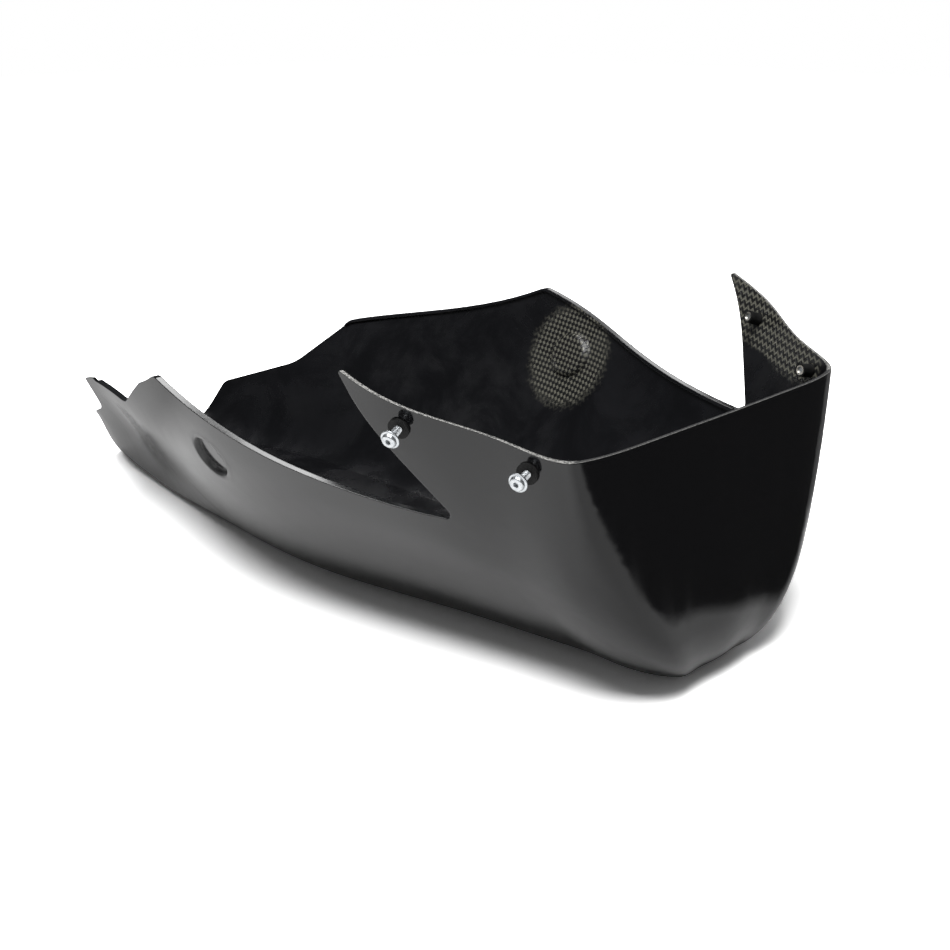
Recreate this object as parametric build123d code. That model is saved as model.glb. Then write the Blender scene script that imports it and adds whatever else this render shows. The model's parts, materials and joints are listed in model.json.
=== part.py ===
from build123d import *
import math
import os

# Motorcycle belly pan: one moulded laminate shell with four screws in rubber well nuts.
# Millimetres. X points to the front wheel, Y to the rider's left, Z up; the pan rests on Z = 0.
# Places along the pan are measured backwards from its front corners.

# Laminate, and the lip that is returned inwards along the side edges
WALL = 2.4
LIP_WIDTH = 5.0
LIP_DEPTH = 2.6

# Lines of the hull: heights of the level curves, then the nose, corner and stern of each
HEIGHTS = (0, 6, 24, 60, 110, 160, 205, 235)
NOSE = (14, -8, -23, -24, -17, -11, -7, -5)
CORNER = (22, 9, 1, 0, 0, 1, 2, 3)
CORNER_HALF = (17, 37, 70, 105, 128, 138, 143, 146)
STERN = (612, 650, 688, 702, 730, 742, 750, 755)
STERN_HALF = (38, 38, 22, 12, 80, 124, 142, 150)
# Half breadths on the level curves, each row at its distance behind the front corners
STATIONS = (
    (38, (24, 42, 73, 110, 137, 151, 161, 166)),
    (77, (32, 49, 78, 115, 146, 167, 184, 193)),
    (150, (48, 62, 90, 129, 163, 187, 198, 203)),
    (281, (74, 88, 114, 149, 182, 203, 215, 222)),
    (404, (76, 88, 108, 135, 163, 183, 196, 204)),
    (473, (72, 84, 99, 118, 146, 175, 195, 205)),
    (525, (67, 79, 90, 104, 137, 174, 200, 215)),
    (580, (56, 69, 83, 98, 137, 175, 203, 220)),
)
# Where X = 0 lies behind the front corners: midway between the nose and the trimmed stern
ORIGIN_BACK = 319.8

# Trim line in side view: places behind the front corners, and heights
FRONT_EDGE = 180.0
WING_TIP = (129, 222)
WING_TIP_RADIUS = 1.5
APEX = (75, 128)
APEX_RADIUS = 4.5
PEAK = (325, 178)
PEAK_RADIUS = 12.0
TAIL = (530, 123)
TAIL_RADIUS = 14.0
STEP = (576, 78)
STEP_RADIUS = 45.0
KINK = (651, 50)
KINK_RADIUS = 8.0
TRIM_END = (668, 0)
# Relief trimmed out of the right edge only, where the exhaust pipe passes
RELIEF_START = (332, 179)
RELIEF_LOW = (445, 122)
RELIEF_END = (505, 126)
RELIEF_RADIUS = 40.0
# The lip runs along the side edge from the notch to just past the tail
LIP_START = 88.0
LIP_END = 534.0

# Recessed seats for the rear brackets, one on each side
SEAT = (283, 125)
SEAT_RADIUS = 17.0
SEAT_DEPTH = 4.0
SEAT_DRAFT = 1.5
BOSS_ROUND = 4.0

# Wing fasteners: M5 screws standing out of rubber well nuts with brass inserts
WING_HOLES = ((21, 172), (90, 191))
SLEEVE_RADIUS = 4.8
SLEEVE_LENGTH = 13.0
FLANGE_RADIUS = 6.8
FLANGE_HEIGHT = 1.5
SCREW_RADIUS = 2.5
SLEEVE_CLEARANCE = 0.3
INSERT_RADIUS = 3.5
INSERT_LENGTH = 6.0
SCREW_REACH = 12.0
HEAD_GAP = 11.0
HEAD_FLANGE_RADIUS = 6.0
HEAD_FLANGE_HEIGHT = 1.2
DOME_RADIUS = 4.7
DOME_TOP_RADIUS = 3.2
DOME_HEIGHT = 2.4
SOCKET_FLATS = 3.0
SOCKET_DEPTH = 1.9


def along(back):
    return ORIGIN_BACK - back


def at(point):
    return (along(point[0]), point[1])


def inward(row, level, inset):
    low = max(level - 1, 0)
    high = min(level + 1, len(HEIGHTS) - 1)
    slope = (row[high] - row[low]) / (HEIGHTS[high] - HEIGHTS[low])
    if level == 0:
        return inset * (math.hypot(1, slope) - abs(slope))
    return inset * math.hypot(1, slope)


def level_points(level, inset=0.0, rise=0.0):
    nose = NOSE[level] + inward(NOSE, level, inset)
    bend = CORNER[level] - nose + inward(NOSE, level, inset)
    half = CORNER_HALF[level] - inward(CORNER_HALF, level, inset)
    stern = STERN[level] - inward(STERN, level, inset)
    stern_half = STERN_HALF[level] - inward(STERN_HALF, level, inset)
    side = [(nose + 0.05 * bend, 0.5 * half), (nose + 0.33 * bend, 0.87 * half), (nose + bend, half)]
    side += [(back, row[level] - inward(row, level, inset)) for back, row in STATIONS]
    side += [(stern, stern_half)]
    z = HEIGHTS[level]
    if level == 0:
        z += inset
    if level == len(HEIGHTS) - 1:
        z += rise
    left = [Vector(along(back), half, z) for back, half in reversed(side)]
    right = [Vector(along(back), -half, z) for back, half in side]
    return left + [Vector(along(nose), 0, z)] + right


def hull(inset=0.0, rise=0.0):
    # Every level curve is spaced like the one at mid height, so that the skin has few patches
    middle = level_points(len(HEIGHTS) // 2)
    spacing = [0.0]
    for one, other in zip(middle, middle[1:]):
        spacing.append(spacing[-1] + (other - one).length)
    spacing = [s / spacing[-1] for s in spacing]
    wires = []
    for level in range(len(HEIGHTS)):
        points = level_points(level, inset, rise)
        curve = Edge.make_spline(points, parameters=spacing)
        wires.append(Wire([curve, Edge.make_line(points[-1], points[0])]))
    return Solid.make_loft(wires)


def round_corner(sketch, point, radius):
    x, z = at(point)
    near = [v for v in sketch.vertices() if math.hypot(v.X - x, v.Y - z) < 0.01]
    fillet(near, radius)


def seat_plane(skin, point, side):
    x, z = at(point)
    ray = Axis((x, 0, z), (0, side, 0))
    hits = skin.find_intersection_points(ray)
    spot, normal = max(hits, key=lambda hit: hit[0].Y * side)
    if normal.Y * side < 0:
        normal = -normal
    return Plane(origin=spot, z_dir=normal)


os.makedirs("parts", exist_ok=True)
outer = hull()
inner = hull(WALL, 5)
lip_face = hull(LIP_WIDTH, 10)

# Side view of what stays after trimming, on the left and, with the relief, on the right
with BuildSketch() as trim:
    with BuildLine():
        front = Polyline(at((-40, -20)), at((-40, FRONT_EDGE)), at((0, FRONT_EDGE)))
        wing = Spline(front @ 1, at((60, 197)), at(WING_TIP))
        notch = Line(wing @ 1, at(APEX))
        climb = Spline(notch @ 1, at((150, 132)), at((215, 144)), at((275, 163)), at(PEAK))
        fall = Spline(climb @ 1, at((375, 159)), at((473, 136)), at(TAIL))
        Polyline(fall @ 1, at(STEP), at(KINK), at(TRIM_END), at((690, -20)), at((-40, -20)))
    make_face()
    round_corner(trim, WING_TIP, WING_TIP_RADIUS)
    round_corner(trim, APEX, APEX_RADIUS)
    round_corner(trim, PEAK, PEAK_RADIUS)
    round_corner(trim, TAIL, TAIL_RADIUS)
    round_corner(trim, STEP, STEP_RADIUS)
    round_corner(trim, KINK, KINK_RADIUS)

with BuildSketch() as relief:
    with BuildLine():
        low = FilletPolyline(at(RELIEF_START), at(RELIEF_LOW), at(RELIEF_END), radius=RELIEF_RADIUS)
        Polyline(low @ 1, at((RELIEF_END[0], 200)), at((RELIEF_START[0], 200)), low @ 0)
    make_face()


def side_prism(sketch, side, start=0.0):
    face = Plane.XZ.offset(-side * start) * sketch
    return extrude(face, amount=-side * (300 - start))


def lip_band(sketch, side):
    run = Pos(along((LIP_START + LIP_END) / 2), 100) * Rectangle(LIP_END - LIP_START, 200)
    band = (sketch - Pos(0, -LIP_DEPTH) * sketch) & run
    pieces = band.faces().sort_by(SortBy.AREA)
    return side_prism(pieces[-1], side, start=60.0)


left_trim = trim.sketch
right_trim = trim.sketch - relief.sketch
keep = side_prism(left_trim, 1) + side_prism(right_trim, -1)
bands = [lip_band(left_trim, 1), lip_band(right_trim, -1)]

# A seat is a drafted pocket in the skin, with a rounded boss of the same wall behind it
up = (Align.CENTER, Align.CENTER, Align.MIN)
seat_back = SEAT_DEPTH + WALL
seats = [seat_plane(outer, SEAT, side) for side in (1, -1)]
boss = Pos(0, 0, -seat_back) * Cylinder(SEAT_RADIUS + WALL, seat_back - 1.2, align=up)
boss = fillet(boss.edges().sort_by(Axis.Z)[:1], BOSS_ROUND)
pocket_cut = Cone(SEAT_RADIUS - SEAT_DRAFT, SEAT_RADIUS + SEAT_DRAFT, 2 * SEAT_DEPTH, align=up)
bosses = [seat * boss for seat in seats]
pockets = [seat * Pos(0, 0, -SEAT_DEPTH) * pocket_cut for seat in seats]

# Wing holes are drilled square to the skin
places = [seat_plane(outer, hole, side) for side in (1, -1) for hole in WING_HOLES]
drills = [place * Cylinder(SLEEVE_RADIUS, 6 * WALL) for place in places]

cavity = inner.cut(*bands, *bosses)
lip_cut = lip_face.cut(*bosses)
blank = (outer & keep).solid()
shell = blank.cut(cavity, lip_cut, *pockets, *drills)

# One fastener on its own axis: Z = 0 is the skin of the wing, and Z points out of it
sleeve_end = -SLEEVE_LENGTH
body = Pos(0, 0, sleeve_end) * Cylinder(SLEEVE_RADIUS, SLEEVE_LENGTH + FLANGE_HEIGHT, align=up)
flange = Pos(0, 0, -WALL) * Cylinder(FLANGE_RADIUS, WALL + FLANGE_HEIGHT, align=up)
bore = Pos(0, 0, sleeve_end) * Cylinder(SCREW_RADIUS + SLEEVE_CLEARANCE, 2 * SLEEVE_LENGTH, align=up)
socket_end = Pos(0, 0, sleeve_end) * Cylinder(INSERT_RADIUS, INSERT_LENGTH, align=up)
insert = socket_end - Pos(0, 0, sleeve_end) * Cylinder(SCREW_RADIUS, INSERT_LENGTH, align=up)

seat_z = HEAD_GAP + HEAD_FLANGE_HEIGHT
with BuildSketch(Plane.XZ) as half_screw:
    with BuildLine():
        lower = Polyline(
            (0, seat_z + DOME_HEIGHT),
            (0, -SCREW_REACH),
            (SCREW_RADIUS, -SCREW_REACH),
            (SCREW_RADIUS, HEAD_GAP),
            (HEAD_FLANGE_RADIUS, HEAD_GAP),
            (HEAD_FLANGE_RADIUS, seat_z),
            (DOME_RADIUS, seat_z),
        )
        dome = TangentArc(lower @ 1, (DOME_TOP_RADIUS, seat_z + DOME_HEIGHT), tangent=(0, 1))
        Line(dome @ 1, lower @ 0)
    make_face()
screw = revolve(half_screw.sketch, axis=Axis.Z)
socket = extrude(RegularPolygon(SOCKET_FLATS / 2, 6, major_radius=False), amount=SOCKET_DEPTH)
screw -= Pos(0, 0, seat_z + DOME_HEIGHT - SOCKET_DEPTH) * socket

sleeves = []
for place in places:
    collar = place * flange - outer
    sleeves.append((place * body + collar) - place * bore - place * socket_end)

export_step(shell, "parts/belly_pan_shell.step")
export_step(Compound(children=sleeves), "parts/well_nut_sleeves.step")
export_step(Compound(children=[place * insert for place in places]), "parts/well_nut_inserts.step")
export_step(Compound(children=[place * screw for place in places]), "parts/flange_screws.step")
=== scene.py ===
import bpy
import json
import math
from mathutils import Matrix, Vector


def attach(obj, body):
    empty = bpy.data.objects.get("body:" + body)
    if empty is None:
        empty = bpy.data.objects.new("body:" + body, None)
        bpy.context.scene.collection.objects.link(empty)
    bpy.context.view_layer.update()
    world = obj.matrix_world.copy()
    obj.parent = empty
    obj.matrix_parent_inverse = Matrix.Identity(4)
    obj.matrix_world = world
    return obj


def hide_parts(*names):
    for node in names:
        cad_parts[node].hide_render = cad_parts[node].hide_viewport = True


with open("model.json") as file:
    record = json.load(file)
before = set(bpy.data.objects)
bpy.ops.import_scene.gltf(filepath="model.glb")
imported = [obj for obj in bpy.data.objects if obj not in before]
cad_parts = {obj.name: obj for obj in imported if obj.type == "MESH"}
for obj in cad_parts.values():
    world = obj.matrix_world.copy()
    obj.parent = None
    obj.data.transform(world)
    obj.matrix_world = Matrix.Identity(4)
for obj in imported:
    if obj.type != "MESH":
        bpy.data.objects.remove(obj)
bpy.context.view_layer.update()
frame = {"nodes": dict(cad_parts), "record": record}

scene = bpy.context.scene

# Moulded shell of the belly pan: one hand-laid laminate in black gelcoat, polished outside.
# Inside it is brushed with black flow coat, with bare hybrid cloth on the wings and round the bosses.
# Its top edges on the wings and the front wall are sawn, and show the pale cut ends of the fibres.
shell = frame["nodes"]["belly_pan_shell"]
mounts = {mount["name"]: mount for mount in frame["record"]["mounts"]}
BOSS_X, _, BOSS_Z = mounts["left_bracket_seat"]["pos_m"]
GELCOAT_BLACK = (0.004, 0.004, 0.0045, 1)
FLOW_COAT_BLACK = (0.002, 0.002, 0.0025, 1)
FLOW_COAT_CLOUD = (0.006, 0.006, 0.0075, 1)
CARBON_TOW = (0.008, 0.008, 0.008, 1)
ARAMID_TOW = (0.12, 0.117, 0.095, 1)
CUT_FIBRE = (0.34, 0.335, 0.32, 1)
CUT_RESIN = (0.03, 0.03, 0.03, 1)


def add_node(tree, kind, values=None, **settings):
    node = tree.nodes.new(kind)
    for name, value in settings.items():
        setattr(node, name, value)
    for socket, value in (values or {}).items():
        if isinstance(value, bpy.types.NodeSocket):
            tree.links.new(value, node.inputs[socket])
        else:
            node.inputs[socket].default_value = value
    return node


def maths(tree, operation, *values):
    return add_node(tree, "ShaderNodeMath", dict(enumerate(values)), operation=operation).outputs[0]


def product(tree, first, *others):
    result = first
    for other in others:
        result = maths(tree, "MULTIPLY", result, other)
    return result


def dot(tree, first, second):
    node = add_node(tree, "ShaderNodeVectorMath", {0: first, 1: second}, operation="DOT_PRODUCT")
    return node.outputs["Value"]


def split(tree, vector):
    return add_node(tree, "ShaderNodeSeparateXYZ", {0: vector}).outputs


def blend_values(tree, mask, first, second):
    return add_node(tree, "ShaderNodeMix", {0: mask, 2: first, 3: second}).outputs[0]


def blend_colours(tree, mask, first, second):
    return add_node(tree, "ShaderNodeMix", {0: mask, 6: first, 7: second}, data_type="RGBA").outputs[2]


def ramp(tree, value, low, high, out_low=0.0, out_high=1.0):
    node = add_node(tree, "ShaderNodeMapRange", {0: value, 1: low, 2: high, 3: out_low, 4: out_high})
    node.interpolation_type = "SMOOTHSTEP"
    return node.outputs[0]


def new_group(name, inputs, outputs):
    group = bpy.data.node_groups.new(name, "ShaderNodeTree")
    for socket, kind in inputs.items():
        group.interface.new_socket(socket, in_out="INPUT", socket_type=kind)
    for socket, kind in outputs.items():
        group.interface.new_socket(socket, in_out="OUTPUT", socket_type=kind)
    return group, group.nodes.new("NodeGroupInput"), group.nodes.new("NodeGroupOutput")


# Cloth of crossing tows: which tow lies on top, whether it is an odd one, and how high its crown is
cloth_group, cloth_in, cloth_out = new_group(
    "woven_cloth",
    {"Across": "NodeSocketFloat", "Along": "NodeSocketFloat", "Repeat": "NodeSocketFloat"},
    {"Weft": "NodeSocketFloat", "Odd": "NodeSocketFloat", "Height": "NodeSocketFloat"},
)
repeat = cloth_in.outputs["Repeat"]
warp_count = maths(cloth_group, "FLOOR", cloth_in.outputs["Across"])
weft_count = maths(cloth_group, "FLOOR", cloth_in.outputs["Along"])
diagonal = maths(cloth_group, "FLOORED_MODULO", maths(cloth_group, "ADD", warp_count, weft_count), repeat)
half_repeat = maths(cloth_group, "MULTIPLY", repeat, 0.5)
weft = maths(cloth_group, "LESS_THAN", diagonal, maths(cloth_group, "SUBTRACT", half_repeat, 0.5))
crowns = []
for socket in ("Across", "Along"):
    part = maths(cloth_group, "FRACT", cloth_in.outputs[socket])
    crowns.append(maths(cloth_group, "SINE", maths(cloth_group, "MULTIPLY", part, math.pi)))
top_count = blend_values(cloth_group, weft, warp_count, weft_count)
odd = maths(cloth_group, "FLOORED_MODULO", top_count, 2.0)
cloth_group.links.new(weft, cloth_out.inputs["Weft"])
cloth_group.links.new(odd, cloth_out.inputs["Odd"])
cloth_group.links.new(blend_values(cloth_group, weft, *crowns), cloth_out.inputs["Height"])

# Clouding: soft blotches of hand work, as brushed resin and rubber both have
CLOUD_FADE = (0.32, 0.68)
cloud_group, cloud_in, cloud_out = new_group(
    "clouding",
    {"Place": "NodeSocketVector", "Scale": "NodeSocketFloat", "Detail": "NodeSocketFloat"},
    {"Cloud": "NodeSocketFloat"},
)
noise = add_node(cloud_group, "ShaderNodeTexNoise", {
    "Vector": cloud_in.outputs["Place"], "Scale": cloud_in.outputs["Scale"],
    "Detail": cloud_in.outputs["Detail"], "Roughness": 0.6, "Distortion": 0.4})
cloud_group.links.new(ramp(cloud_group, noise.outputs["Fac"], *CLOUD_FADE), cloud_out.inputs["Cloud"])


def clouding(tree, place, scale, detail=4.0):
    values = {"Place": place, "Scale": scale, "Detail": detail}
    return add_node(tree, "ShaderNodeGroup", values, node_tree=cloud_group).outputs["Cloud"]


def woven_cloth(tree, first, second, tow, repeat, lay_angle):
    lay_cos = math.cos(lay_angle) / tow
    lay_sin = math.sin(lay_angle) / tow
    across = maths(tree, "ADD", product(tree, first, lay_cos), product(tree, second, lay_sin))
    along = maths(tree, "SUBTRACT", product(tree, second, lay_cos), product(tree, first, lay_sin))
    values = {"Across": across, "Along": along, "Repeat": repeat}
    return add_node(tree, "ShaderNodeGroup", values, node_tree=cloth_group).outputs


def new_material(name, **sockets):
    material = bpy.data.materials.new(name)
    material.use_nodes = True
    shader = material.node_tree.nodes["Principled BSDF"]
    for socket, value in sockets.items():
        shader.inputs[socket.replace("_", " ")].default_value = value
    return material, material.node_tree, shader


def surface_place(tree):
    return add_node(tree, "ShaderNodeNewGeometry").outputs["Position"]


def dress(piece, material):
    piece.data.materials.clear()
    piece.data.materials.append(material)


laminate, tree, shader = new_material("black_laminate", IOR=1.5)
surface = add_node(tree, "ShaderNodeNewGeometry")
place = surface.outputs["Position"]
normal = surface.outputs["True Normal"]
x, _, z = split(tree, place)
_, sideways, upward = split(tree, normal)
fine_cloud = clouding(tree, place, scale=140.0)
broad_cloud = clouding(tree, place, scale=16.0, detail=6.0)

# Inside is where the surface faces the pan's long axis, with a share of x left in for the front wall
AXIS_SHARE = 0.6
AXIS_HEIGHT = 0.2
axis_x = product(tree, x, AXIS_SHARE)
axis_point = add_node(tree, "ShaderNodeCombineXYZ", {0: axis_x, 2: AXIS_HEIGHT}).outputs[0]
outward = add_node(tree, "ShaderNodeVectorMath", {0: place, 1: axis_point}, operation="SUBTRACT").outputs[0]
inside = maths(tree, "LESS_THAN", dot(tree, outward, normal), 0.0)

# The tops of the edges: sawn on the wings and the front wall, gelcoated on the lip
LEVEL_FACING = 0.55
SIDEWAYS_FACING = 0.2
WING_REAR_X = 0.17
SAWN_LOW = 0.172
LIP_FRONT_X = 0.25
LIP_LOW = 0.04
level = maths(tree, "GREATER_THAN", upward, LEVEL_FACING)
straight = maths(tree, "LESS_THAN", maths(tree, "ABSOLUTE", sideways), SIDEWAYS_FACING)
edge_top = product(tree, level, straight)
in_front = maths(tree, "GREATER_THAN", x, WING_REAR_X)
sawn = product(tree, edge_top, in_front, maths(tree, "GREATER_THAN", z, SAWN_LOW))
beside_lip = maths(tree, "LESS_THAN", x, LIP_FRONT_X)
lip_top = product(tree, edge_top, beside_lip, maths(tree, "GREATER_THAN", z, LIP_LOW))
coated = product(tree, inside, maths(tree, "SUBTRACT", 1.0, lip_top))

# Bare cloth: a twill band under the wings' edges, and a round plain-weave patch over each boss
LAY_ANGLE = math.radians(-52)
TWILL_TOW = 0.0019
TWILL_REPEAT = 4.0
PATCH_TOW = 0.0029
PATCH_REPEAT = 2.0
PATCH_RADIUS = 0.044
PATCH_FADE = (PATCH_RADIUS + 0.005, PATCH_RADIUS - 0.007)
WING_FRONT_X = 0.2997
WING_FADE = (WING_FRONT_X + 0.014, WING_FRONT_X + 0.004)
WING_WEAVE_LOW = 0.157
WING_WEAVE_RISE = 0.2
BAND_FADE = (-0.002, 0.004)
RAGGED_EDGE = 0.004
ragged = product(tree, fine_cloud, RAGGED_EDGE)
from_corner = maths(tree, "SUBTRACT", WING_FRONT_X, x)
band_low = maths(tree, "ADD", WING_WEAVE_LOW, product(tree, from_corner, WING_WEAVE_RISE))
above_band = maths(tree, "SUBTRACT", maths(tree, "SUBTRACT", z, band_low), ragged)
on_wing = ramp(tree, maths(tree, "ADD", x, ragged), *WING_FADE)
band = product(tree, ramp(tree, above_band, *BAND_FADE), in_front, on_wing)
across_boss = maths(tree, "SUBTRACT", x, BOSS_X)
along_boss = maths(tree, "SUBTRACT", z, BOSS_Z)
boss_squares = [product(tree, offset, offset) for offset in (across_boss, along_boss)]
boss_reach = maths(tree, "SQRT", maths(tree, "ADD", *boss_squares))
patch = ramp(tree, maths(tree, "ADD", boss_reach, ragged), *PATCH_FADE)
bare = product(tree, maths(tree, "MAXIMUM", band, patch), coated)
twill = woven_cloth(tree, x, z, TWILL_TOW, TWILL_REPEAT, LAY_ANGLE)
plain = woven_cloth(tree, x, z, PATCH_TOW, PATCH_REPEAT, LAY_ANGLE)
aramid = blend_values(tree, patch, twill["Odd"], plain["Weft"])
tow_height = blend_values(tree, patch, twill["Height"], plain["Height"])

# Eased edges, softest on the bosses, also tell the pale outer half of a sawn edge from its coated inner half
EDGE_ROUNDING = 0.0011
BOSS_ROUNDING = 0.006
BOSS_FADE = (0.03, 0.024)
OUTER_FADE = (-0.03, 0.02)
rounding = ramp(tree, boss_reach, *BOSS_FADE, EDGE_ROUNDING, BOSS_ROUNDING)
eased = add_node(tree, "ShaderNodeBevel", {"Radius": rounding}, samples=6).outputs[0]
outer_half = ramp(tree, dot(tree, eased, outward), *OUTER_FADE)

# Colour: black gelcoat outside, clouded flow coat and bare cloth inside, cut fibre ends on the sawn edges.
# The cloth carries painted shade in the gaps between its tows
CLOUD_STRENGTH = 0.6
# Painted shade: each aramid tow fades to black away from its crown, darkest in the gaps between tows
gap_shaded_cloth_colour = blend_colours(tree, product(tree, aramid, tow_height), CARBON_TOW, ARAMID_TOW)
cloud_mask = product(tree, broad_cloud, CLOUD_STRENGTH)
coat_colour = blend_colours(tree, cloud_mask, FLOW_COAT_BLACK, FLOW_COAT_CLOUD)
inner_colour = blend_colours(tree, bare, coat_colour, gap_shaded_cloth_colour)
skin_colour = blend_colours(tree, coated, GELCOAT_BLACK, inner_colour)
fibre_ends = clouding(tree, place, scale=900.0, detail=2.0)
sawn_colour = blend_colours(tree, fibre_ends, CUT_FIBRE, CUT_RESIN)
laminate_colour = blend_colours(tree, product(tree, sawn, outer_half), skin_colour, sawn_colour)
tree.links.new(laminate_colour, shader.inputs["Base Color"])

# Roughness: polished gelcoat with faint wiping marks, satin flow coat, dry sawn edge
WIPING_STRETCH = (60.0, 60.0, 9.0)
WIPING_FADE = (0.45, 0.8)
GELCOAT_ROUGHNESS = (0.1, 0.2)
FLOW_COAT_ROUGHNESS = (0.18, 0.32)
SAWN_ROUGHNESS = 0.75
stretch = {0: place, 1: WIPING_STRETCH}
wipe_place = add_node(tree, "ShaderNodeVectorMath", stretch, operation="MULTIPLY").outputs[0]
wiping = add_node(tree, "ShaderNodeTexNoise", {"Vector": wipe_place, "Scale": 1.0, "Detail": 5.0})
gel_roughness = ramp(tree, wiping.outputs["Fac"], *WIPING_FADE, *GELCOAT_ROUGHNESS)
coat_roughness = ramp(tree, broad_cloud, 0.0, 1.0, *FLOW_COAT_ROUGHNESS)
skin_roughness = blend_values(tree, coated, gel_roughness, coat_roughness)
tree.links.new(blend_values(tree, sawn, skin_roughness, SAWN_ROUGHNESS), shader.inputs["Roughness"])

# Relief: brush ripples inside, tows under resin, a faint print of the lay-up outside
RIPPLE_HEIGHT = 0.2
TOW_HEIGHT = 0.5
PRINT_HEIGHT = 0.02
ripple = product(tree, broad_cloud, coated, RIPPLE_HEIGHT)
tows = product(tree, tow_height, bare, TOW_HEIGHT)
lay_up_print = product(tree, fine_cloud, PRINT_HEIGHT)
relief = maths(tree, "ADD", maths(tree, "ADD", ripple, tows), lay_up_print)
bump = add_node(tree, "ShaderNodeBump", {
    "Height": relief, "Distance": 0.0004, "Strength": 0.6, "Normal": eased})
tree.links.new(bump.outputs[0], shader.inputs["Normal"])
dress(shell, laminate)

# Well-nut sleeves: flanged black rubber plugs, pushed through the wing holes from outside.
# The screw draws the brass end towards the flange, so the rubber grips the laminate.
sleeves = frame["nodes"]["well_nut_sleeves"]
RUBBER_BLACK = (0.004, 0.004, 0.004, 1)
RUBBER_BLOOM = (0.009, 0.009, 0.009, 1)
RUBBER_ROUGHNESS = (0.55, 0.75)
rubber, tree, shader = new_material("black_rubber", IOR=1.5, Specular_IOR_Level=0.2)
bloom = clouding(tree, surface_place(tree), scale=220.0)
tree.links.new(blend_colours(tree, bloom, RUBBER_BLACK, RUBBER_BLOOM), shader.inputs["Base Color"])
tree.links.new(ramp(tree, bloom, 0.0, 1.0, *RUBBER_ROUGHNESS), shader.inputs["Roughness"])
grain = add_node(tree, "ShaderNodeBump", {"Height": bloom, "Distance": 0.0001, "Strength": 0.4})
tree.links.new(grain.outputs[0], shader.inputs["Normal"])
dress(sleeves, rubber)

# Well-nut inserts: turned brass bushes, nickel plated, moulded into the inner ends of the sleeves.
# Only their end faces show, inside the wings.
inserts = frame["nodes"]["well_nut_inserts"]
NICKEL_BRIGHT = (0.8, 0.77, 0.7, 1)
NICKEL_TARNISHED = (0.66, 0.62, 0.54, 1)
NICKEL_ROUGHNESS = (0.22, 0.42)
brass, tree, shader = new_material("plated_brass", Metallic=1.0)
tarnish = clouding(tree, surface_place(tree), scale=400.0)
tree.links.new(blend_colours(tree, tarnish, NICKEL_BRIGHT, NICKEL_TARNISHED), shader.inputs["Base Color"])
tree.links.new(ramp(tree, tarnish, 0.0, 1.0, *NICKEL_ROUGHNESS), shader.inputs["Roughness"])
dress(inserts, brass)

# Flange screws: M5 button heads with a washer flange and hex socket, in bright zinc-plated steel.
# Each is cold headed and thread rolled, and stands backed out of its well nut.
THREAD_RADIUS = 0.0025
THREAD_DEPTH = 0.00042
THREAD_PITCH = 0.0008
TIP_RADIUS = 0.002
TIP_DEPTH = 0.012
HEAD_GAP = 0.011
SLEEVE_FLANGE_HEIGHT = 0.0015
MOUNT_HEIGHT = (SLEEVE_FLANGE_HEIGHT + HEAD_GAP) / 2
FLANGE_RADIUS = 0.006
FLANGE_HEIGHT = 0.0012
FLANGE_ROUNDING = 0.0003
DOME_RADIUS = 0.0047
DOME_TOP = 0.0032
DOME_HEIGHT = 0.0024
DOME_FOOT_WIDTH = 0.0004
DOME_FOOT_HEIGHT = 0.0002
SOCKET_FLATS = 0.003
SOCKET_DEPTH = 0.0019
SOCKET_CHAMFER = 0.0002
RING_SIDES = 48
ROWS_PER_TURN = 8
FLANGE_STEPS = 4
DOME_STEPS = 7
SHARP_ANGLE = math.radians(38)
ZINC_BRIGHT = (0.62, 0.64, 0.65, 1)
ZINC_DULL = (0.5, 0.52, 0.54, 1)
ZINC_ROUGHNESS = (0.3, 0.45)


def hex_radius(angle):
    return SOCKET_FLATS / 2 / math.cos((angle + math.pi / 6) % (math.pi / 3) - math.pi / 6)


def chamfer_radius(angle):
    return hex_radius(angle) + SOCKET_CHAMFER


def thread_radius(height):
    def at_angle(angle):
        turn = (height / THREAD_PITCH - angle / (2 * math.pi)) % 1.0
        fade = min(1.0, (height + TIP_DEPTH) / THREAD_PITCH, (HEAD_GAP - height) / THREAD_PITCH)
        return THREAD_RADIUS - THREAD_DEPTH * fade * (0.5 + 0.5 * math.cos(2 * math.pi * turn))
    return at_angle


def ring(radius, height):
    points = []
    for side in range(RING_SIDES):
        angle = 2 * math.pi * side / RING_SIDES
        reach = radius(angle) if callable(radius) else radius
        points.append(Vector((reach * math.cos(angle), reach * math.sin(angle), height)))
    return points


# Rings run from the tip up the thread, round the flange, over the dome and down into the socket
screw_rings = [ring(TIP_RADIUS, -TIP_DEPTH)]
rows = round((TIP_DEPTH + HEAD_GAP) / THREAD_PITCH * ROWS_PER_TURN)
for row in range(rows + 1):
    height = -TIP_DEPTH + (TIP_DEPTH + HEAD_GAP) * row / rows
    screw_rings.append(ring(thread_radius(height), height))
flange_core = FLANGE_RADIUS - FLANGE_ROUNDING
screw_rings.append(ring(flange_core, HEAD_GAP))
for step in range(FLANGE_STEPS + 1):
    angle = math.pi * (step / FLANGE_STEPS - 0.5)
    height = HEAD_GAP + FLANGE_HEIGHT * (0.5 + 0.5 * math.sin(angle))
    screw_rings.append(ring(flange_core + FLANGE_ROUNDING * math.cos(angle), height))
flange_top = HEAD_GAP + FLANGE_HEIGHT
screw_rings.append(ring(DOME_RADIUS + DOME_FOOT_WIDTH, flange_top))
for step in range(DOME_STEPS + 1):
    angle = math.pi / 2 * step / DOME_STEPS
    height = flange_top + DOME_FOOT_HEIGHT + (DOME_HEIGHT - DOME_FOOT_HEIGHT) * math.sin(angle)
    screw_rings.append(ring(DOME_TOP + (DOME_RADIUS - DOME_TOP) * math.cos(angle), height))
crown_top = flange_top + DOME_HEIGHT
screw_rings.append(ring(chamfer_radius, crown_top))
screw_rings.append(ring(hex_radius, crown_top - SOCKET_CHAMFER))
screw_rings.append(ring(hex_radius, crown_top - SOCKET_DEPTH))

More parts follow.
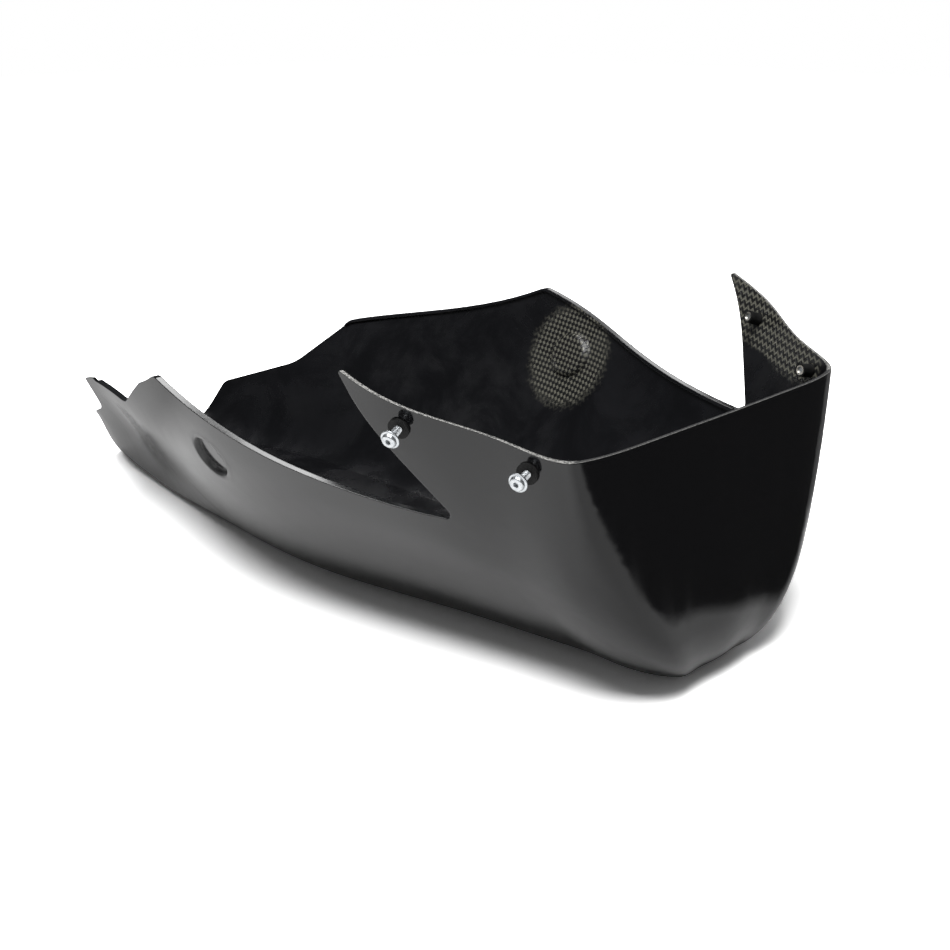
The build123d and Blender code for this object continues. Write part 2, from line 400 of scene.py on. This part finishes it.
# One screw stands at each wing mount, which lies halfway along the bare thread below its head
screw_points = []
screw_faces = []
for name, mount in mounts.items():
    if not name.endswith("wing_screw"):
        continue
    axis = Vector(mount["axis"]).normalized()
    turn = axis.to_track_quat("Z", "Y")
    origin = Vector(mount["pos_m"]) - axis * MOUNT_HEIGHT
    start = len(screw_points)
    for points in screw_rings:
        screw_points += [origin + turn @ point for point in points]
    for row in range(len(screw_rings) - 1):
        low = start + row * RING_SIDES
        high = low + RING_SIDES
        for side in range(RING_SIDES):
            after = (side + 1) % RING_SIDES
            screw_faces.append((low + side, low + after, high + after, high + side))
    last = start + (len(screw_rings) - 1) * RING_SIDES
    screw_faces.append(tuple(reversed(range(start, start + RING_SIDES))))
    screw_faces.append(tuple(range(last, last + RING_SIDES)))
screw_mesh = bpy.data.meshes.new("threaded_flange_screws")
screw_mesh.from_pydata(screw_points, [], screw_faces)
screw_mesh.shade_smooth()
screw_mesh.set_sharp_from_angle(angle=SHARP_ANGLE)
screws = bpy.data.objects.new("threaded_flange_screws", screw_mesh)
scene.collection.objects.link(screws)
zinc, tree, shader = new_material("bright_zinc", Metallic=1.0)
plating = clouding(tree, surface_place(tree), scale=600.0)
tree.links.new(blend_colours(tree, plating, ZINC_BRIGHT, ZINC_DULL), shader.inputs["Base Color"])
tree.links.new(ramp(tree, plating, 0.0, 1.0, *ZINC_ROUGHNESS), shader.inputs["Roughness"])
screw_mesh.materials.append(zinc)
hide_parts("flange_screws")
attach(screws, "root")

# Studio floor: a wide sheet of white paper, shown to the camera brighter than it lights the pan.
# It glows with distance, so that it runs into the white room without a horizon.
FLOOR_REACH = 6.0
GLOW_FADE = (0.5, 1.5)
PAPER_WHITE = (0.9, 0.9, 0.9, 1)
PAPER_SEEN = (2.2, 2.2, 2.2, 1)
NO_GLOW = (0, 0, 0, 1)
FULL_GLOW = (1, 1, 1, 1)


def flat_sheet(name, left, right, near, far, height, material):
    corners = [(left, near, height), (right, near, height), (right, far, height), (left, far, height)]
    mesh = bpy.data.meshes.new(name)
    mesh.from_pydata(corners, [], [(0, 1, 2, 3)])
    mesh.materials.append(material)
    sheet = bpy.data.objects.new(name, mesh)
    scene.collection.objects.link(sheet)
    return sheet


paper, tree, shader = new_material("white_paper", Roughness=0.9, Emission_Strength=1.0)
seen = add_node(tree, "ShaderNodeLightPath").outputs["Is Camera Ray"]
tree.links.new(blend_colours(tree, seen, PAPER_WHITE, PAPER_SEEN), shader.inputs["Base Color"])
place = surface_place(tree)
distance = add_node(tree, "ShaderNodeVectorMath", {0: place}, operation="LENGTH").outputs["Value"]
glow = ramp(tree, distance, *GLOW_FADE)
tree.links.new(blend_colours(tree, glow, NO_GLOW, FULL_GLOW), shader.inputs["Emission Color"])
floor = flat_sheet("floor", -FLOOR_REACH, FLOOR_REACH, -FLOOR_REACH, FLOOR_REACH, 0.0, paper)

# Reflection card: a black sheet just above the floor, seen only in the gloss of the shell, where it paints
# dark reflections.
# The painted reflection is dense before the prow and beyond the far side and thinner behind the stern, and
# keeps those reflections dark.
CARD_BLACK = (0.002, 0.002, 0.002, 1)
CARD_SPAN = (-3.0, 5.0, -0.8, 5.0)
CARD_HEIGHT = 0.002
CARD_SLANT = (0.35, 1.0, 0.0)
PROW_FADE = (0.3, 0.42)
THIN_FADE = (-0.1, 0.12)
THIN_SHADE = 0.4
DENSE_FADE = (0.18, 0.29)
STERN_FADE = (-0.16, -0.34)
STERN_SHADE = 0.58
FAR_FADE = (0.22, 0.4)
FAR_SHADE = 0.86
# Painted reflection: this black sheet's alpha sets how dark each part of the shell's gloss is painted
dark_reflection_card, tree, shader = new_material("painted_dark_reflection", Base_Color=CARD_BLACK, Roughness=1.0)
place = surface_place(tree)
x, y, _ = split(tree, place)
slant = dot(tree, place, CARD_SLANT)
thin = ramp(tree, slant, *THIN_FADE, 0.0, THIN_SHADE)
dense = ramp(tree, slant, *DENSE_FADE)
before_prow = product(tree, maths(tree, "MAXIMUM", thin, dense), ramp(tree, x, *PROW_FADE))
behind_stern = ramp(tree, x, *STERN_FADE, 0.0, STERN_SHADE)
far_side = ramp(tree, y, *FAR_FADE, 0.0, FAR_SHADE)
shade = maths(tree, "MAXIMUM", maths(tree, "MAXIMUM", before_prow, behind_stern), far_side)
tree.links.new(shade, shader.inputs["Alpha"])
card = flat_sheet("black_card", *CARD_SPAN, CARD_HEIGHT, dark_reflection_card)
card.visible_camera = False
card.visible_diffuse = False
card.visible_shadow = False

# Studio lights: one large softbox overhead and three small ones for the lit edges, on stands.
# The room round them is white to the camera, and dim in reflections and as fill light.
def softbox(name, location, target, size, watts):
    lamp = bpy.data.lights.new(name, "AREA")
    lamp.shape = "RECTANGLE"
    lamp.size, lamp.size_y = size
    lamp.energy = watts
    holder = bpy.data.objects.new(name, lamp)
    scene.collection.objects.link(holder)
    holder.location = location
    holder.rotation_euler = (Vector(target) - Vector(location)).to_track_quat("-Z", "Y").to_euler()


softbox("overhead_softbox", (0.45, -0.85, 2.15), target=(0.0, 0.0, 0.0), size=(1.5, 1.3), watts=78.0)
softbox("edge_softbox", (-0.75, 0.2, 2.1), target=(0.0, 0.0, 0.0), size=(0.5, 0.5), watts=9.0)
softbox("far_softbox", (-1.03, 2.0, 1.27), target=(0.05, 0.19, 0.15), size=(0.6, 0.5), watts=2.5)
softbox("rear_softbox", (-1.27, 1.06, 1.71), target=(0.0, -0.15, 0.15), size=(0.6, 0.5), watts=6.0)

world = bpy.data.worlds.new("studio")
scene.world = world
world.use_nodes = True
tree = world.node_tree
rays = add_node(tree, "ShaderNodeLightPath").outputs
white = add_node(tree, "ShaderNodeBackground", {"Color": (1, 1, 1, 1), "Strength": 1.0}).outputs[0]
dim = add_node(tree, "ShaderNodeBackground", {"Color": (0.9, 0.95, 1, 1), "Strength": 0.08}).outputs[0]
fill = add_node(tree, "ShaderNodeBackground", {"Color": (1, 1, 1, 1), "Strength": 0.15}).outputs[0]
unseen = add_node(tree, "ShaderNodeMixShader", {0: rays["Is Diffuse Ray"], 1: dim, 2: fill}).outputs[0]
room = add_node(tree, "ShaderNodeMixShader", {0: rays["Is Camera Ray"], 1: unseen, 2: white}).outputs[0]
tree.links.new(room, tree.nodes["World Output"].inputs["Surface"])

# Camera: a normal lens, looking down on the pan from ahead and from its right-hand side.
# Its place, turn and focal length were fitted to the photograph.
SENSOR_WIDTH = 36.0
FOCAL_LENGTH = 49.26
CAMERA_PLACE = (0.76504, -0.6555, 0.4274)
CAMERA_TILT = math.radians(69.54)
CAMERA_TURN = math.radians(45.15)
lens = bpy.data.cameras.new("camera")
lens.sensor_width = SENSOR_WIDTH
lens.lens = FOCAL_LENGTH
camera = bpy.data.objects.new("camera", lens)
scene.collection.objects.link(camera)
camera.location = CAMERA_PLACE
camera.rotation_euler = (CAMERA_TILT, 0.0, CAMERA_TURN)
scene.camera = camera
scene.view_settings.view_transform = "Standard"
